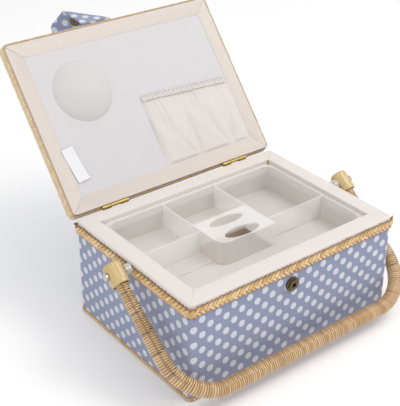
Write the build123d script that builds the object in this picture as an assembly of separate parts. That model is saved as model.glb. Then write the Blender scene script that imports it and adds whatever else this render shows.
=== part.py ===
from build123d import *
import os
from math import cos, radians, sin

# A fabric-covered sewing box with a hinged lid, a swinging handle and a lift-out tray.
# Origin: centre of the underside. +Z up, the front faces -Y. The lid stands open.

# Driving dimensions (mm)
box_width = 305.0
box_depth = 222.0
rim_top = 129.0
lid_open_deg = 130.0
fabric = 1.0
board = 3.0
corner_r = 6.0

# Levels of the body
trim_height = 5.0
trim_proud = 1.6
under_sheet = 0.8
rail_bottom = 112.0
braid_top = 122.0
braid_proud = 3.2
rim_skin = 0.8
rim_skirt_bottom = 122.2
rim_edge_round = 2.6
rail_edge_cut = 1.6

# Rim rails: a rebate on the inner side carries the tray
rim_width = 21.0
ledge_width = 3.0
ledge_top = 122.4

# Hinges
hinge_y = 113.0
hinge_z = 130.0
hinge_centres = (-95.0, 92.0)
hinge_length = 38.0
knuckle_r = 2.2
hinge_pin_r = 1.2
running_gap = 0.05
leaf_thick = 1.0
leaf_reach = 15.0
lower_leaf_z = 127.2
upper_leaf_z = 131.4
hinge_screw_r = 1.2
hinge_screw_head_r = 2.2
hinge_screw_spread = 13.0
hinge_screw_in = 4.5
lower_screw_long = 8.0
upper_screw_long = 4.5
knuckle_half = 6.5
knuckle_gap = 0.25
knuckle_room = 0.35
notch_side_room = 0.3
notch_end_room = 0.2
pin_proud = 0.6

# Lid, drawn closed and then swung open
lid_under = 130.4
border_width = 20.0
border_thick = 1.0
panel_thick = 0.6
lid_board_thick = 5.0
lid_cloth_room = 1.5
lid_edge_round = 4.0
lid_top = 146.0
lid_band_top = 143.5
lid_band_proud = 2.6
lid_band_back_bottom = 134.2

# Pincushion, pocket and label on the lid's inside (x, and distance from the hinge line)
cushion_x = -75.5
cushion_from_hinge = 145.5
cushion_r = 40.0
cushion_high = 15.0
pocket_left = -3.0
pocket_right = 131.0
pocket_low = 23.5
pocket_high = 113.0
pocket_thick = 3.6
pocket_corner_r = 6.0
elastic_high = 6.0
label_x = -124.0
label_from_hinge = 61.0
label_wide = 17.0
label_long = 45.0
label_thick = 0.5

# Snap: socket on the front, stud on the tab
snap_x = -8.5
snap_z = 97.8
snap_r = 9.0
snap_disc_thick = 3.0
snap_ring_r = 6.6
snap_proud = 4.5
snap_edge_round = 0.6
snap_back_r = 7.0
snap_washer_thick = 0.8
snap_hole_r = 2.8
snap_hole_deep = 3.0
stud_r = 2.3
stud_long = 2.4
stud_disc_r = 8.0
stud_face_gap = 0.3
cap_thick = 1.0
cap_round = 0.4

# Closing tab, drawn hanging closed and then folded back
tab_y = -118.4
tab_z = 144.9
tab_wide = 40.0
tab_thick = 2.0
tab_length = 86.0
tab_tip_r = 15.0
tab_shoulder = 34.0
tab_crease_at = 28.0
tab_crease_tilt = -50.0
tab_fold_rest = -135.0
tab_curl_rest = -88.0
tab_gap = 0.4

# Handle
pivot_y = -5.2
pivot_z = 122.0
arm_offset = 21.6
arm_length = 164.0
arm_down_deg = 37.2
handle_corner_r = 56.5
core_r = 6.2
wrap_r = 8.8
wrap_slim_r = 7.3
ferrule_r = 11.0
ferrule_back = 12.5
ferrule_front = 14.0
ferrule_bore_from = 5.0
ferrule_back_round = 3.0
ferrule_front_round = 0.8
pivot_pin_r = 2.5
pivot_head_r = 4.5
pivot_head_thick = 2.2
pivot_play = 0.4
pivot_depth = 14.0
washer_r = 6.5

# Tray
tray_top = 124.2
tray_flange = 1.6
tray_wall = 1.4
tray_flange_width = 4.6
tray_depth = 31.0
tray_clear = 0.6
tray_corner_r = 13.0
tray_draft = 1.6
divider = 1.5
divider_a_x = -45.6
divider_b_x = 35.3
divider_b_end = -30.8
divider_c_y = 7.2
divider_d_y = -18.2
grip_front = -33.0
grip_back = 23.0
grip_corner_r = 14.0
grip_plate = 1.6
finger_hole_x = -6.5
finger_front_y = -21.0
finger_back_y = 8.8
finger_long = 50.0
finger_wide_front = 20.0
finger_wide_back = 17.0
floor_step_y = -18.4
floor_step_high = 1.2

half_w = box_width / 2
half_d = box_depth / 2
hinge_axis = Axis((0, hinge_y, hinge_z), (1, 0, 0))


def block(x0, x1, y0, y1, z0, z1):
    """A box between two opposite corners."""
    size = Box(x1 - x0, y1 - y0, z1 - z0)
    return Pos((x0 + x1) / 2, (y0 + y1) / 2, (z0 + z1) / 2) * size


def slab(width, depth, radius, z0, z1):
    """An upright prism on a rounded rectangle, centred on the box."""
    outline = RectangleRounded(width, depth, radius)
    return Pos(0, 0, z0) * extrude(outline, z1 - z0)


def slab_in(inset, radius, z0, z1):
    """A slab whose sides lie this far inside the body's outer faces."""
    return slab(box_width - 2 * inset, box_depth - 2 * inset, radius, z0, z1)


def bar_x(y, z, radius, x0, x1):
    """A round bar along X."""
    rod = Rot(0, 90, 0) * Cylinder(radius, x1 - x0)
    return Pos((x0 + x1) / 2, y, z) * rod


def top_edges(shape, z):
    """The edges that lie flat at this height."""
    return [e for e in shape.edges() if abs(e.bounding_box().min.Z - z) < 0.01
            and abs(e.bounding_box().max.Z - z) < 0.01]


def side_wedge(side, z0=-10.0, z1=200.0):
    """The mitred region of one side: front, back, left or right."""
    margin = 8.0
    reach = 60.0
    a = half_w + margin
    b = half_d + margin
    outlines = {
        "front": [(-a, -b), (a, -b), (a - reach, reach - b), (reach - a, reach - b)],
        "back": [(a, b), (-a, b), (reach - a, b - reach), (a - reach, b - reach)],
        "left": [(-a, b), (-a, -b), (reach - a, reach - b), (reach - a, b - reach)],
        "right": [(a, -b), (a, b), (a - reach, b - reach), (a - reach, reach - b)],
    }
    face = make_face(Polyline(*outlines[side], close=True))
    return Pos(0, 0, z0) * extrude(face, z1 - z0)


SIDES = ("front", "back", "left", "right")


def four_sides(ring):
    """Four mitred lengths of one ring, as a group of solids."""
    return Compound(children=[Part() + (ring & side_wedge(side)) for side in SIDES])


def base_board():
    return slab_in(fabric, corner_r - fabric, under_sheet, under_sheet + board)


def base_cover():
    return slab_in(fabric, corner_r - fabric, 0, under_sheet)


def base_lining():
    inset = fabric + board + rim_skin
    z0 = under_sheet + board
    return slab_in(inset, 1.5, z0, z0 + rim_skin)


def wall_ring():
    z0 = under_sheet + board
    outer = slab_in(fabric, corner_r - fabric, z0, rail_bottom)
    return outer - slab_in(fabric + board, 2.0, z0, rail_bottom)


def outer_cover():
    """The printed cloth round the four walls."""
    outer = slab_in(0, corner_r, 0, rim_skirt_bottom)
    ring = outer - slab_in(fabric, corner_r - fabric, 0, rim_skirt_bottom)
    return ring - pivot_holes(pivot_pin_r)


def inner_lining():
    inset = fabric + board
    z0 = under_sheet + board
    outer = slab_in(inset, 2.0, z0, rail_bottom)
    return outer - slab_in(inset + rim_skin, 1.5, z0, rail_bottom)


def pivot_holes(radius):
    """The holes that the handle's two screws take through the box's sides."""
    spans = [sorted((s * (half_w - pivot_depth), s * (half_w + 10))) for s in (-1, 1)]
    return [bar_x(pivot_y, pivot_z, radius, x0, x1) for x0, x1 in spans]


def hinge_notch(x):
    """The room that a hinge's lower leaf takes out of the back rail and its cover."""
    half = hinge_length / 2 + notch_side_room
    return block(x - half, x + half, hinge_y - leaf_reach - notch_end_room, hinge_y,
                 lower_leaf_z, lower_leaf_z + leaf_thick)


def hinge_screw_places():
    y = hinge_y - leaf_reach + hinge_screw_in
    offsets = (-hinge_screw_spread, hinge_screw_spread)
    return [(centre + offset, y) for centre in hinge_centres for offset in offsets]


def rim_blank(z0):
    """The wooden rails with their rebate, notched for the hinges, from height z0 up."""
    wood_top = rim_top - rim_skin
    body = slab_in(fabric, corner_r - fabric, z0, wood_top)
    body = chamfer(top_edges(body, wood_top), rail_edge_cut)
    low_inset = rim_width + ledge_width - rim_skin
    high_inset = rim_width - rim_skin
    body = body - slab_in(low_inset, 5.0, z0, ledge_top - rim_skin)
    return body - slab_in(high_inset, 6.0, ledge_top - rim_skin, wood_top)


def rim_wood():
    body = rim_blank(rail_bottom) - [hinge_notch(x) for x in hinge_centres]
    for x, y in hinge_screw_places():
        body = body - Pos(x, y, lower_leaf_z - 4) * Cylinder(hinge_screw_r, lower_screw_long)
    return body - pivot_holes(pivot_pin_r)


def rim_cloth():
    """Cream cloth over the rails: outer edge, top, tray ledge and inner face."""
    cap = slab_in(0, corner_r, rim_skirt_bottom, rim_top)
    cap = fillet(top_edges(cap, rim_top), rim_edge_round)
    opening = slab_in(rim_width, 6.0, ledge_top, rim_top)
    cap = cap - opening
    inner = slab_in(rim_width - ledge_width, 6.0, rail_bottom, ledge_top)
    body = cap + inner
    body = body - slab_in(rim_width + ledge_width, 5.0, rail_bottom, ledge_top)
    body = body - rim_blank(rail_bottom - 1) - [hinge_notch(x) for x in hinge_centres]
    return body - pivot_holes(pivot_pin_r)


def straw_band(z0, z1, proud):
    outer = slab_in(-proud, corner_r + proud, z0, z1)
    outer = fillet(top_edges(outer, z1), min(1.2, proud / 2))
    return outer - slab_in(0, corner_r, z0, z1)


def top_braid():
    """Braided straw below the rim, with a hole on each side for the handle's screw."""
    ring = straw_band(rail_bottom, braid_top, braid_proud)
    return four_sides(ring - pivot_holes(pivot_pin_r))


def bottom_trim():
    return four_sides(straw_band(0, trim_height, trim_proud))


def front_snap_socket():
    """A snap's socket: a round base with a raised ring round a blind hole."""
    disc = Pos(0, 0, snap_disc_thick / 2) * Cylinder(snap_r, snap_disc_thick)
    disc = fillet(top_edges(disc, snap_disc_thick), snap_edge_round)
    ring = Pos(0, 0, snap_proud / 2) * Cylinder(snap_ring_r, snap_proud)
    body = disc + ring
    hole = Pos(0, 0, snap_proud - snap_hole_deep / 2) * Cylinder(snap_hole_r, snap_hole_deep)
    body = body - hole
    return Pos(snap_x, -half_d, snap_z) * (Rot(90, 0, 0) * body)


def front_snap_washer():
    """The snap's washer behind the front wall."""
    back = half_d - fabric - board - rim_skin
    plate = Rot(90, 0, 0) * Cylinder(snap_back_r, snap_washer_thick)
    return Pos(snap_x, snap_washer_thick / 2 - back, snap_z) * plate


def leaf(x, z, sign):
    """One hinge leaf at height z with its knuckles. sign is -1 below the pin, 1 above."""
    half = hinge_length / 2
    split = knuckle_half
    plate = block(x - half, x + half, hinge_y - leaf_reach, hinge_y, z, z + leaf_thick)
    if sign < 0:
        split = split + knuckle_gap
        spans = [(x - half, x - split), (x + split, x + half)]
        clear = [(x - split, x + split)]
    else:
        spans = [(x - split, x + split)]
        clear = [(x - half, x - split), (x + split, x + half)]
    room = knuckle_r + knuckle_room
    for x0, x1 in clear:
        plate = plate - block(x0, x1, hinge_y - room, hinge_y + 1, z - 1, z + 2)
    for x0, x1 in spans:
        plate = plate + bar_x(hinge_y, hinge_z, knuckle_r, x0, x1)
    plate = plate - bar_x(hinge_y, hinge_z, hinge_pin_r + running_gap, x - half, x + half)
    return plate


def countersunk(x, y, z_face, sign, length):
    """A countersunk screw. z_face is its head's face; sign is the way the point goes."""
    head = Cone(hinge_screw_r, hinge_screw_head_r, leaf_thick)
    if sign > 0:
        head = Rot(180, 0, 0) * head
    head = Pos(x, y, z_face + sign * leaf_thick / 2) * head
    middle = z_face + sign * (leaf_thick + (length - leaf_thick) / 2)
    return head + Pos(x, y, middle) * Cylinder(hinge_screw_r, length - leaf_thick)


def lower_screws():
    face = lower_leaf_z + leaf_thick
    return [countersunk(x, y, face, -1, lower_screw_long) for x, y in hinge_screw_places()]


def upper_screws():
    face = upper_leaf_z
    return [countersunk(x, y, face, 1, upper_screw_long) for x, y in hinge_screw_places()]


def hinge_lower_leaves():
    leaves = [leaf(x, lower_leaf_z, -1) for x in hinge_centres]
    return Compound(children=[Part() + (one - lower_screws()) for one in leaves])


def hinge_upper_leaves():
    leaves = [leaf(x, upper_leaf_z, 1) for x in hinge_centres]
    return Compound(children=[Part() + (one - upper_screws()) for one in leaves])


def hinge_pins():
    half = hinge_length / 2 + pin_proud
    return Compound(children=[bar_x(hinge_y, hinge_z, hinge_pin_r, x - half, x + half)
                              for x in hinge_centres])


def lid_slab(inset, z0, z1):
    return slab_in(inset, corner_r - inset, z0, z1)


def upper_notch(x, y0):
    """The room for a hinge's upper leaf, from y0 back."""
    half = hinge_length / 2 + notch_side_room
    return block(x - half, x + half, y0, hinge_y, upper_leaf_z, upper_leaf_z + leaf_thick)


def lid_core_parts():
    """The lid's board and its padding, with the room for the upper hinge leaves."""
    wood_top = upper_leaf_z + lid_board_thick
    notch_front = hinge_y - leaf_reach - notch_end_room
    wood = lid_slab(lid_cloth_room, upper_leaf_z, wood_top)
    wood = wood - [upper_notch(x, notch_front) for x in hinge_centres] - upper_screws()
    padding = lid_slab(lid_cloth_room, wood_top, lid_top - fabric)
    padding = fillet(top_edges(padding, lid_top - fabric), lid_edge_round)
    return wood, padding


def lid_outline():
    """The whole lid's outer shape, above its hinge leaves."""
    shape = lid_slab(0, upper_leaf_z, lid_top)
    return fillet(top_edges(shape, lid_top), lid_edge_round)


def lid_cover():
    """The printed cloth over the lid's top and round its edges."""
    wood_top = upper_leaf_z + lid_board_thick
    shell = lid_outline() - lid_slab(lid_cloth_room, upper_leaf_z, wood_top)
    shell = shell - lid_core_parts()[1]
    return shell - [upper_notch(x, half_d - 2) for x in hinge_centres]


def lid_band():
    """Straw band round the lid's edge. Behind, it starts higher, to clear the hinges."""
    ring = straw_band(lid_under + 0.6, lid_band_top, lid_band_proud)
    low_back = block(-half_w - 10, half_w + 10, half_d - 1, half_d + 10,
                     lid_under, lid_band_back_bottom)
    return four_sides(ring - low_back)


def lid_border():
    """Cream strips round the lid's inside."""
    outer = slab_in(0.4, corner_r - 0.4, lid_under, lid_under + border_thick)
    return outer - slab_in(border_width, 2.0, lid_under, lid_under + border_thick)


def lid_panel():
    top = lid_under + border_thick
    return slab_in(border_width, 2.0, top - panel_thick, top)


def panel_face():
    return lid_under + border_thick - panel_thick


def pincushion():
    """A stuffed dome under the closed lid."""
    ball_r = (cushion_r ** 2 + cushion_high ** 2) / (2 * cushion_high)
    ball = Pos(0, 0, ball_r - cushion_high) * Sphere(ball_r)
    wide = 2 * cushion_r
    cap = ball & block(-wide, wide, -wide, wide, -cushion_high - 1, 0)
    y = hinge_y - cushion_from_hinge
    return Pos(cushion_x, y, panel_face()) * cap


def pocket():
    face = panel_face()
    y0 = hinge_y - pocket_high
    y1 = hinge_y - pocket_low
    body = block(pocket_left, pocket_right, y0 + elastic_high, y1, face - pocket_thick, face)
    corners = body.edges().filter_by(Axis.Z).sort_by(Axis.Y)[-2:]
    body = fillet(corners, pocket_corner_r)
    return chamfer(top_edges(body, face - pocket_thick), 1.6)


def pocket_elastic():
    face = panel_face()
    y0 = hinge_y - pocket_high
    body = block(pocket_left, pocket_right, y0, y0 + elastic_high, face - pocket_thick, face)
    return fillet(top_edges(body, face - pocket_thick), 0.9)


def blank_label():
    face = panel_face()
    y = hinge_y - label_from_hinge
    return block(label_x - label_wide / 2, label_x + label_wide / 2,
                 y - label_long / 2, y + label_long / 2, face - label_thick, face)


def tab_root():
    """The end of the tab that is sewn in above the front band."""
    tongue = block(snap_x - tab_wide / 2, snap_x + tab_wide / 2,
                   tab_y + tab_thick / 2 + tab_gap, -half_d + 4,
                   tab_z - tab_thick / 2, tab_z + tab_thick / 2)
    return tongue - lid_outline()


def crease_half(keep_lower):
    """A region on one side of the tab's slanted crease, in the hanging tab's plane."""
    gap = tab_thick / 2 + (0 if keep_lower else tab_gap)
    reach = 100.0
    z = -reach / 2 if keep_lower else reach / 2 + gap
    region = Pos(0, 0, z) * Box(4 * reach, 20, reach)
    turned = Rot(0, tab_crease_tilt, 0) * region
    return Pos(snap_x, tab_y, tab_z - tab_crease_at) * turned


def tab_blank():
    """The whole flat tab, hanging closed: straight sides and a rounded end."""
    tip_r = tab_tip_r
    low = -tab_length
    side = tab_wide / 2
    shoulder = low + tab_shoulder
    outline = Polyline((-side, 0), (-side, shoulder), (-tip_r, low + tip_r),
                       (-tip_r, low), (tip_r, low), (tip_r, low + tip_r),
                       (side, shoulder), (side, 0), close=True)
    face = make_face(outline)
    low_corners = [v for v in face.vertices() if v.Y < low + 0.1]
    face = fillet(low_corners, tip_r - 0.2)
    plate = extrude(face, tab_thick / 2, both=True)
    return Pos(snap_x, tab_y, tab_z) * (Rot(90, 0, 0) * plate)


def crease_rod():
    """The rounded edge of the tab along its slanted crease."""
    reach = tab_wide
    rod = Rot(0, 90, 0) * Cylinder(tab_thick / 2, 2 * reach)
    rod = Rot(0, tab_crease_tilt, 0) * rod
    rod = Pos(snap_x, tab_y, tab_z - tab_crease_at) * rod
    strip = block(snap_x - tab_wide / 2, snap_x + tab_wide / 2, tab_y - 5, tab_y + 5,
                  tab_z - 200, tab_z - 1)
    return rod & strip


def tab_strap():
    """The part of the tab between the lid and its crease."""
    rolled = bar_x(tab_y, tab_z, tab_thick / 2, snap_x - tab_wide / 2, snap_x + tab_wide / 2)
    return (tab_blank() & crease_half(False)) + rolled


def tab_end():
    """The part of the tab beyond its crease, which carries the snap's stud."""
    return (tab_blank() & crease_half(True)) + crease_rod()


def snap_place():
    return (snap_x, tab_y + tab_thick / 2, snap_z)


def snap_stud():
    """The stud half of the snap on the tab's inner side."""
    x, y, z = snap_place()
    thick = -half_d - snap_proud - stud_face_gap - y
    disc = Pos(0, 0, thick / 2) * Cylinder(stud_disc_r, thick)
    stud = Pos(0, 0, thick + stud_long / 2) * Cylinder(stud_r, stud_long)
    stud = fillet(top_edges(stud, thick + stud_long), snap_edge_round)
    return Pos(x, y, z) * (Rot(-90, 0, 0) * (disc + stud))


def snap_cap():
    """The snap's backing disc on the tab's outer side."""
    disc = Pos(0, 0, cap_thick / 2) * Cylinder(snap_back_r, cap_thick)
    disc = fillet(top_edges(disc, cap_thick), cap_round)
    return Pos(snap_x, tab_y - tab_thick / 2, snap_z) * (Rot(90, 0, 0) * disc)


def crease_axis():
    slant = radians(tab_crease_tilt)
    return Axis((snap_x, tab_y, tab_z - tab_crease_at), (cos(slant), 0, -sin(slant)))


def fold_back(shape, curled):
    """A tab piece moved from hanging closed to lying back, still with the lid closed."""
    if curled:
        shape = shape.rotate(crease_axis(), tab_curl_rest)
    return shape.rotate(Axis((0, tab_y, tab_z), (1, 0, 0)), tab_fold_rest)


def open_lid(shape):
    """A lid piece moved from closed to open."""
    return shape.rotate(hinge_axis, -lid_open_deg)


def handle_path():
    """The middle line of the handle's rod, from inside one end fitting to the other."""
    x = half_w + arm_offset
    down = radians(arm_down_deg)
    along = Vector(0, -cos(down), -sin(down))
    start = Vector(0, pivot_y, pivot_z) + along * ferrule_bore_from
    end = Vector(0, pivot_y, pivot_z) + along * arm_length
    left_top = Vector(-x, start.Y, start.Z)
    left_low = Vector(-x, end.Y, end.Z)
    right_low = Vector(x, end.Y, end.Z)
    right_top = Vector(x, start.Y, start.Z)
    return FilletPolyline(left_top, left_low, right_low, right_top, radius=handle_corner_r)


def rod(radius):
    path = handle_path()
    return sweep(Plane(path @ 0, z_dir=path % 0) * Circle(radius), path)


def handle_core():
    return rod(core_r)


def ferrule_region(x, radius, grow=0.0):
    """The space that an end fitting fills, as a solid cylinder along its arm."""
    length = ferrule_back + ferrule_front + 2 * grow
    body = Cylinder(radius, length)
    shift = (ferrule_front - ferrule_back) / 2
    body = Pos(0, 0, shift) * body
    tilt = Rot(90 + arm_down_deg, 0, 0)
    return Pos(x, pivot_y, pivot_z) * (tilt * body)


def arm_trim(x):
    """What is taken off an arm's wrapping to slim it towards its end fitting."""
    length = arm_length - handle_corner_r
    outside = Cylinder(wrap_r + 1, length) - Cone(wrap_slim_r, wrap_r, length)
    middle = Pos(0, 0, length / 2) * outside
    return Pos(x, pivot_y, pivot_z) * (Rot(90 + arm_down_deg, 0, 0) * middle)


def handle_wrap():
    """The straw wound round the rod, between the end fittings, slimmer along the arms."""
    tube = rod(wrap_r) - rod(core_r)
    tube = tube - [arm_trim(s * (half_w + arm_offset)) for s in (-1, 1)]
    for s in (-1, 1):
        tube = tube - ferrule_region(s * (half_w + arm_offset), ferrule_r + 4)
    return tube


def ferrule(s):
    """A moulded end fitting: rounded behind, bored for the rod and for the pivot screw."""
    x = s * (half_w + arm_offset)
    body = Cylinder(ferrule_r, ferrule_back + ferrule_front)
    body = Pos(0, 0, (ferrule_front - ferrule_back) / 2) * body
    body = fillet(top_edges(body, -ferrule_back), ferrule_back_round)
    body = fillet(top_edges(body, ferrule_front), ferrule_front_round)
    body = Pos(x, pivot_y, pivot_z) * (Rot(90 + arm_down_deg, 0, 0) * body)
    body = body - rod(core_r)
    return body - bar_x(pivot_y, pivot_z, pivot_pin_r + running_gap, x - 20, x + 20)


def pivot_screw(s):
    """A shouldered screw through the end fitting into the side rail."""
    tip = half_w - pivot_depth
    shoulder = half_w + arm_offset + ferrule_r + pivot_play
    ends = sorted((s * tip, s * shoulder))
    head = sorted((s * shoulder, s * (shoulder + pivot_head_thick)))
    body = bar_x(pivot_y, pivot_z, pivot_pin_r, *ends)
    return body + bar_x(pivot_y, pivot_z, pivot_head_r, *head)


def pivot_washer(s):
    """The clear spacer between the braid and the end fitting."""
    reach = half_w + arm_offset - ferrule_r - pivot_play
    ends = sorted((s * (half_w + braid_proud), s * reach))
    body = bar_x(pivot_y, pivot_z, washer_r, *ends)
    return body - bar_x(pivot_y, pivot_z, pivot_pin_r, *ends)


def tapered_slab(width, depth, radius, z0, z1, inset):
    """A slab that is narrower at the bottom by this inset on each side."""
    low = Pos(0, 0, z0) * RectangleRounded(width - 2 * inset, depth - 2 * inset, radius)
    high = Pos(0, 0, z1) * RectangleRounded(width, depth, radius)
    return loft([low, high])


def tray():
    """The moulded tray: flange, walls, floor, dividers and the raised finger grip."""
    flange_w = box_width - 2 * rim_width - 2 * tray_clear
    flange_d = box_depth - 2 * rim_width - 2 * tray_clear
    inner_w = flange_w - 2 * tray_flange_width
    inner_d = flange_d - 2 * tray_flange_width
    floor_top = tray_top - tray_depth
    floor_bottom = floor_top - tray_wall
    inner_r = tray_corner_r - tray_wall
    flange_z = tray_top - tray_flange
    cavity = tapered_slab(inner_w, inner_d, inner_r, floor_top, tray_top, tray_draft)
    shell = tapered_slab(inner_w + 2 * tray_wall, inner_d + 2 * tray_wall,
                         tray_corner_r, floor_bottom, flange_z, tray_draft)
    flange = slab(flange_w, flange_d, tray_corner_r + 1, flange_z, tray_top)
    body = shell + flange - cavity

    t = divider / 2
    top = tray_top - 0.2
    reach_x = inner_w / 2 - 0.2
    reach_y = inner_d / 2 - 0.2
    rib_a = block(divider_a_x - t, divider_a_x + t, grip_back - 1, reach_y, floor_top, top)
    rib_b = block(divider_b_x - t, divider_b_x + t, divider_b_end, reach_y, floor_top, top)
    rib_c = block(-reach_x, divider_a_x, divider_c_y - t, divider_c_y + t, floor_top, top)
    rib_d = block(divider_b_x, reach_x, divider_d_y - t, divider_d_y + t, floor_top, top)
    step = block(-reach_x, divider_a_x + 2, floor_step_y, divider_c_y, floor_top,
                 floor_top + floor_step_high)
    outside = tapered_slab(inner_w + tray_wall, inner_d + tray_wall, inner_r,
                           floor_bottom, tray_top, tray_draft)
    ribs = (rib_a + rib_b + rib_c + rib_d + step) & outside

    grip_w = divider_b_x - divider_a_x + divider
    grip_d = grip_back - grip_front
    grip_x = (divider_a_x + divider_b_x) / 2
    grip_y = (grip_back + grip_front) / 2

    def grip_block(inset, z0, z1):
        w = grip_w - 2 * inset
        d = grip_d - 2 * inset
        face = Rectangle(w, d)
        corner = face.vertices().sort_by(Axis.X)[:2].sort_by(Axis.Y)[:1]
        face = fillet(corner, grip_corner_r - inset)
        return Pos(grip_x, grip_y, z0) * extrude(face, z1 - z0)

    cup = grip_block(0, floor_bottom, tray_top)
    hollow = grip_block(divider, floor_bottom, tray_top - grip_plate)
    for y, wide in ((finger_front_y, finger_wide_front), (finger_back_y, finger_wide_back)):
        oval = Ellipse(finger_long / 2, wide / 2)
        hollow = hollow + Pos(finger_hole_x, y, floor_bottom) * extrude(oval, tray_depth + 10)
    return body + ribs + cup - hollow


lid_wood, lid_padding = lid_core_parts()
rails = rim_wood()
rail_cloth = rim_cloth()
walls = wall_ring()
border = lid_border()

nodes = {
    "base_cover": base_cover(),
    "base_board": base_board(),
    "base_lining": base_lining(),
    "outer_cover": outer_cover(),
    "inner_lining": inner_lining(),
    "top_braid": top_braid(),
    "bottom_trim": bottom_trim(),
    "front_snap_socket": front_snap_socket(),
    "front_snap_washer": front_snap_washer(),
    "hinge_lower_leaves": hinge_lower_leaves(),
    "hinge_lower_screws": Compound(children=lower_screws()),
    "hinge_pins": hinge_pins(),
    "handle_pivot_screws": Compound(children=[pivot_screw(-1), pivot_screw(1)]),
    "handle_washers": Compound(children=[pivot_washer(-1), pivot_washer(1)]),
    "lid_board": open_lid(lid_wood),
    "lid_padding": open_lid(lid_padding),
    "lid_cover": open_lid(lid_cover()),
    "lid_edge_band": open_lid(lid_band()),
    "lid_inner_panel": open_lid(lid_panel()),
    "pincushion": open_lid(pincushion()),
    "pocket": open_lid(pocket()),
    "pocket_elastic": open_lid(pocket_elastic()),
    "blank_label": open_lid(blank_label()),
    "hinge_upper_leaves": open_lid(hinge_upper_leaves()),
    "hinge_upper_screws": open_lid(Compound(children=upper_screws())),
    "tab_root": open_lid(tab_root()),
    "tab_strap": open_lid(fold_back(tab_strap(), False)),
    "tab_end": open_lid(fold_back(tab_end(), True)),
    "snap_stud": open_lid(fold_back(snap_stud(), True)),
    "snap_cap": open_lid(fold_back(snap_cap(), True)),
    "handle_core": handle_core(),
    "handle_wrap": handle_wrap(),
    "handle_fitting_left": ferrule(-1),
    "handle_fitting_right": ferrule(1),
    "tray": tray(),
}
for side in SIDES:
    wedge = side_wedge(side)
    nodes[f"wall_{side}"] = walls & wedge
    nodes[f"rim_rail_{side}"] = rails & wedge
    nodes[f"rim_cloth_{side}"] = rail_cloth & wedge
    nodes[f"lid_border_{side}"] = open_lid(border & wedge)

os.makedirs("parts", exist_ok=True)
for name, shape in nodes.items():
    export_step(shape, f"parts/{name}.step")
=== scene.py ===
from math import pi, sin, cos, tan, exp, radians, hypot
from random import Random

import bmesh
import bpy
from mathutils import Matrix, Vector, noise


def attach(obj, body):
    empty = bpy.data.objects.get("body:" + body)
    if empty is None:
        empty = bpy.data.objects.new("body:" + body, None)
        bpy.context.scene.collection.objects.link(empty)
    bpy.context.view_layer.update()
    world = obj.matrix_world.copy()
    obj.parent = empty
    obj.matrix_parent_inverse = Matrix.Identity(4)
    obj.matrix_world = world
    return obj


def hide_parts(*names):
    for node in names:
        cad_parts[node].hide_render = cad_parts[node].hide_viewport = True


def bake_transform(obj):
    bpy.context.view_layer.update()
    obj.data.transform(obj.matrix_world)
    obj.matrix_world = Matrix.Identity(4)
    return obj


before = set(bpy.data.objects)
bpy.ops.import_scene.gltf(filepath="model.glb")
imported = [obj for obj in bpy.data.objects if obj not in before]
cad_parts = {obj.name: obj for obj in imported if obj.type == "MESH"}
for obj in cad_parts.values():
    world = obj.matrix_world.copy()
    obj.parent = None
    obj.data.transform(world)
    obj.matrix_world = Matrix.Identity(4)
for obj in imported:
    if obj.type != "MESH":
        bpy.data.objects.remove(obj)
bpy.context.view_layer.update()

body = {"halfW": 0.1525, "halfD": 0.111, "radius": 0.006, "rimTop": 0.129}
hinge = {"y": 0.113, "z": 0.130, "open": -130}
scene = bpy.context.scene


def turnAbout(point, axis, degrees):
    move = Matrix.Translation(Vector(point))
    return move @ Matrix.Rotation(radians(degrees), 4, Vector(axis)) @ move.inverted()


lidOpen = turnAbout((0, hinge["y"], hinge["z"]), (1, 0, 0), hinge["open"])


class Sock:
    # one output socket of a node tree, with arithmetic
    def __init__(self, tree, out):
        self.tree = tree
        self.out = out

    def node(self, kind, settings, inputs, out=0):
        made = self.tree.nodes.new(kind)
        for key, value in settings.items():
            setattr(made, key, value)
        for spot, value in inputs.items():
            if isinstance(value, Sock):
                self.tree.links.new(value.out, made.inputs[spot])
            else:
                made.inputs[spot].default_value = value
        return Sock(self.tree, made.outputs[out]) if made.outputs else None

    def math(self, kind, *others):
        return self.node("ShaderNodeMath", {"operation": kind}, dict(enumerate((self, *others))))

    def behind(self, kind, first):
        return self.node("ShaderNodeMath", {"operation": kind}, {0: first, 1: self})

    def __add__(self, other):
        return self.math("ADD", other)

    def __radd__(self, other):
        return self.behind("ADD", other)

    def __sub__(self, other):
        return self.math("SUBTRACT", other)

    def __rsub__(self, other):
        return self.behind("SUBTRACT", other)

    def __mul__(self, other):
        return self.math("MULTIPLY", other)

    def __rmul__(self, other):
        return self.behind("MULTIPLY", other)

    def __truediv__(self, other):
        return self.math("DIVIDE", other)

    def __rtruediv__(self, other):
        return self.behind("DIVIDE", other)


def linear(red, green, blue):
    # screen colour, 0 to 255, as a linear one
    parts = [c / 255 for c in (red, green, blue)]
    return [c / 12.92 if c < 0.04045 else ((c + 0.055) / 1.055) ** 2.4 for c in parts] + [1]


def newMaterial(name):
    made = bpy.data.materials.new(name)
    made.use_nodes = True
    made.node_tree.nodes.clear()
    return made, Sock(made.node_tree, None)


def finishMaterial(made, tree, **inputs):
    named = {key.replace("_", " "): value for key, value in inputs.items()}
    shader = tree.node("ShaderNodeBsdfPrincipled", {}, named)
    tree.node("ShaderNodeOutputMaterial", {}, {"Surface": shader})
    return made


def mixColour(tree, amount, first, second, how="MIX"):
    settings = {"data_type": "RGBA", "blend_type": how}
    return tree.node("ShaderNodeMix", settings, {0: amount, 6: first, 7: second}, 2)


def bump(tree, height, strength, distance):
    return tree.node("ShaderNodeBump", {}, {"Height": height, "Strength": strength,
                                            "Distance": distance})


def uvAxes(tree):
    # the piece's flat place, and its two parts
    uv = tree.node("ShaderNodeUVMap", {"uv_map": "UVMap"}, {})
    u = tree.node("ShaderNodeSeparateXYZ", {}, {0: uv})
    return uv, u, Sock(tree.tree, u.out.node.outputs[1])


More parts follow.
